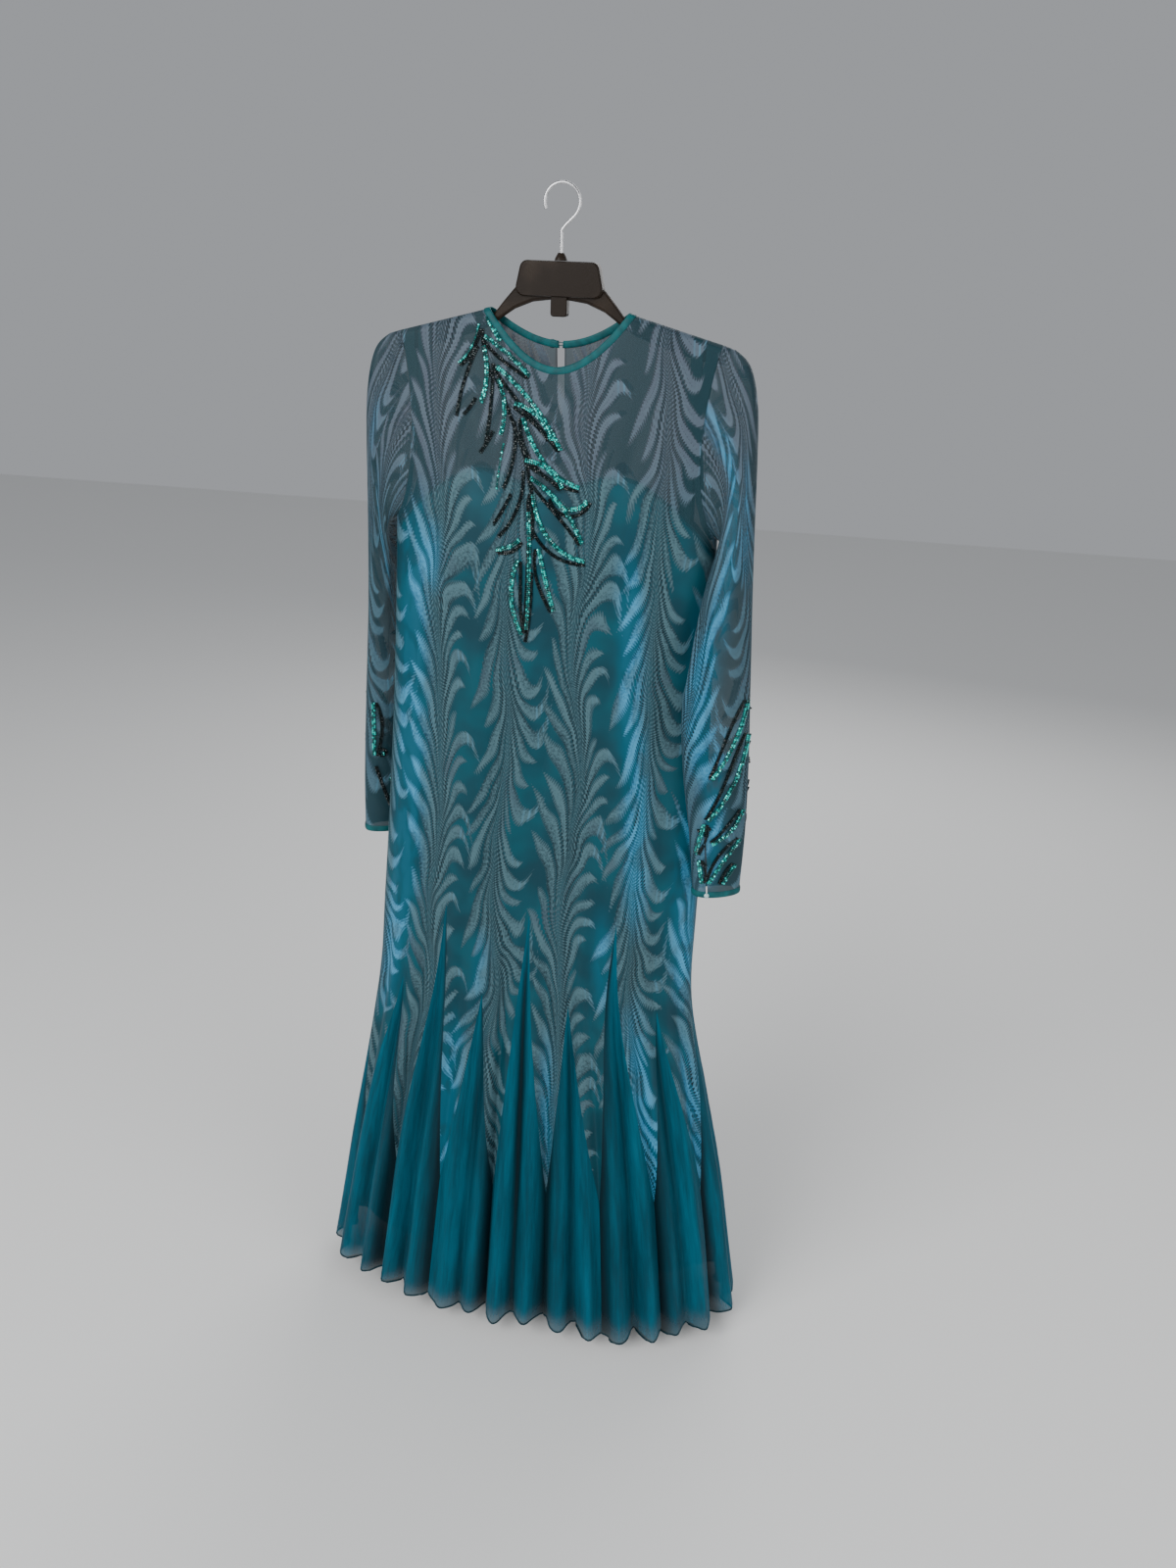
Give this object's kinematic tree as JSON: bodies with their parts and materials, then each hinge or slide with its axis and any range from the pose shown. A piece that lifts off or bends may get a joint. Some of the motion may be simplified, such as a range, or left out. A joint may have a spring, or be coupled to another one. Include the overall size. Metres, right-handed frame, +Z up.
{
  "type": "evening gown on a plastic hanger",
  "caption": "Long-sleeved, round-necked evening gown with a leaf-patterned body over a lining and a flared godet hem, hanging flat on a wide-hubbed plastic hanger.",
  "frame": {"origin": "inner top of the hanger's hook, where it rests on the rail", "axes": "+Z up, +X towards the wearer's left, -Y out of the gown's front"},
  "size_m": [0.5929, 0.2629, 1.4454],
  "materials": {
    "leaf_jacquard": "sheer crepe with mauve-grey satin leaves on a teal ground",
    "teal_chiffon": "fine crinkled chiffon, soft sheen",
    "teal_lining": "smooth crepe lining",
    "teal_binding": "rolled binding, satin",
    "button_pearl": "pearl gloss",
    "loop_thread": "twisted thread",
    "black_plastic": "moulded, low satin",
    "hook_steel": "polished wire"
  },
  "bodies": {
    "root": {"front_panel": "leaf_jacquard", "back_panel": "leaf_jacquard", "sleeve_left": "leaf_jacquard", "sleeve_right": "leaf_jacquard", "godet_01": "teal_chiffon", "godet_02": "teal_chiffon", "godet_03": "teal_chiffon", "godet_04": "teal_chiffon", "godet_05": "teal_chiffon", "godet_06": "teal_chiffon", "godet_07": "teal_chiffon", "godet_08": "teal_chiffon", "godet_09": "teal_chiffon", "godet_10": "teal_chiffon", "godet_11": "teal_chiffon", "godet_12": "teal_chiffon", "godet_13": "teal_chiffon", "godet_14": "teal_chiffon", "godet_15": "teal_chiffon", "godet_16": "teal_chiffon", "lining_front": "teal_lining", "lining_back": "teal_lining", "lining_strap_left": "teal_lining", "lining_strap_right": "teal_lining", "neck_binding": "teal_binding", "cuff_binding_left": "teal_binding", "cuff_binding_right": "teal_binding", "neck_button": "button_pearl", "cuff_button_left": "button_pearl", "cuff_button_right": "button_pearl", "neck_loop": "loop_thread", "hanger": "black_plastic", "hook_collar": "black_plastic", "hook": "hook_steel"}
  },
  "joints": []
}
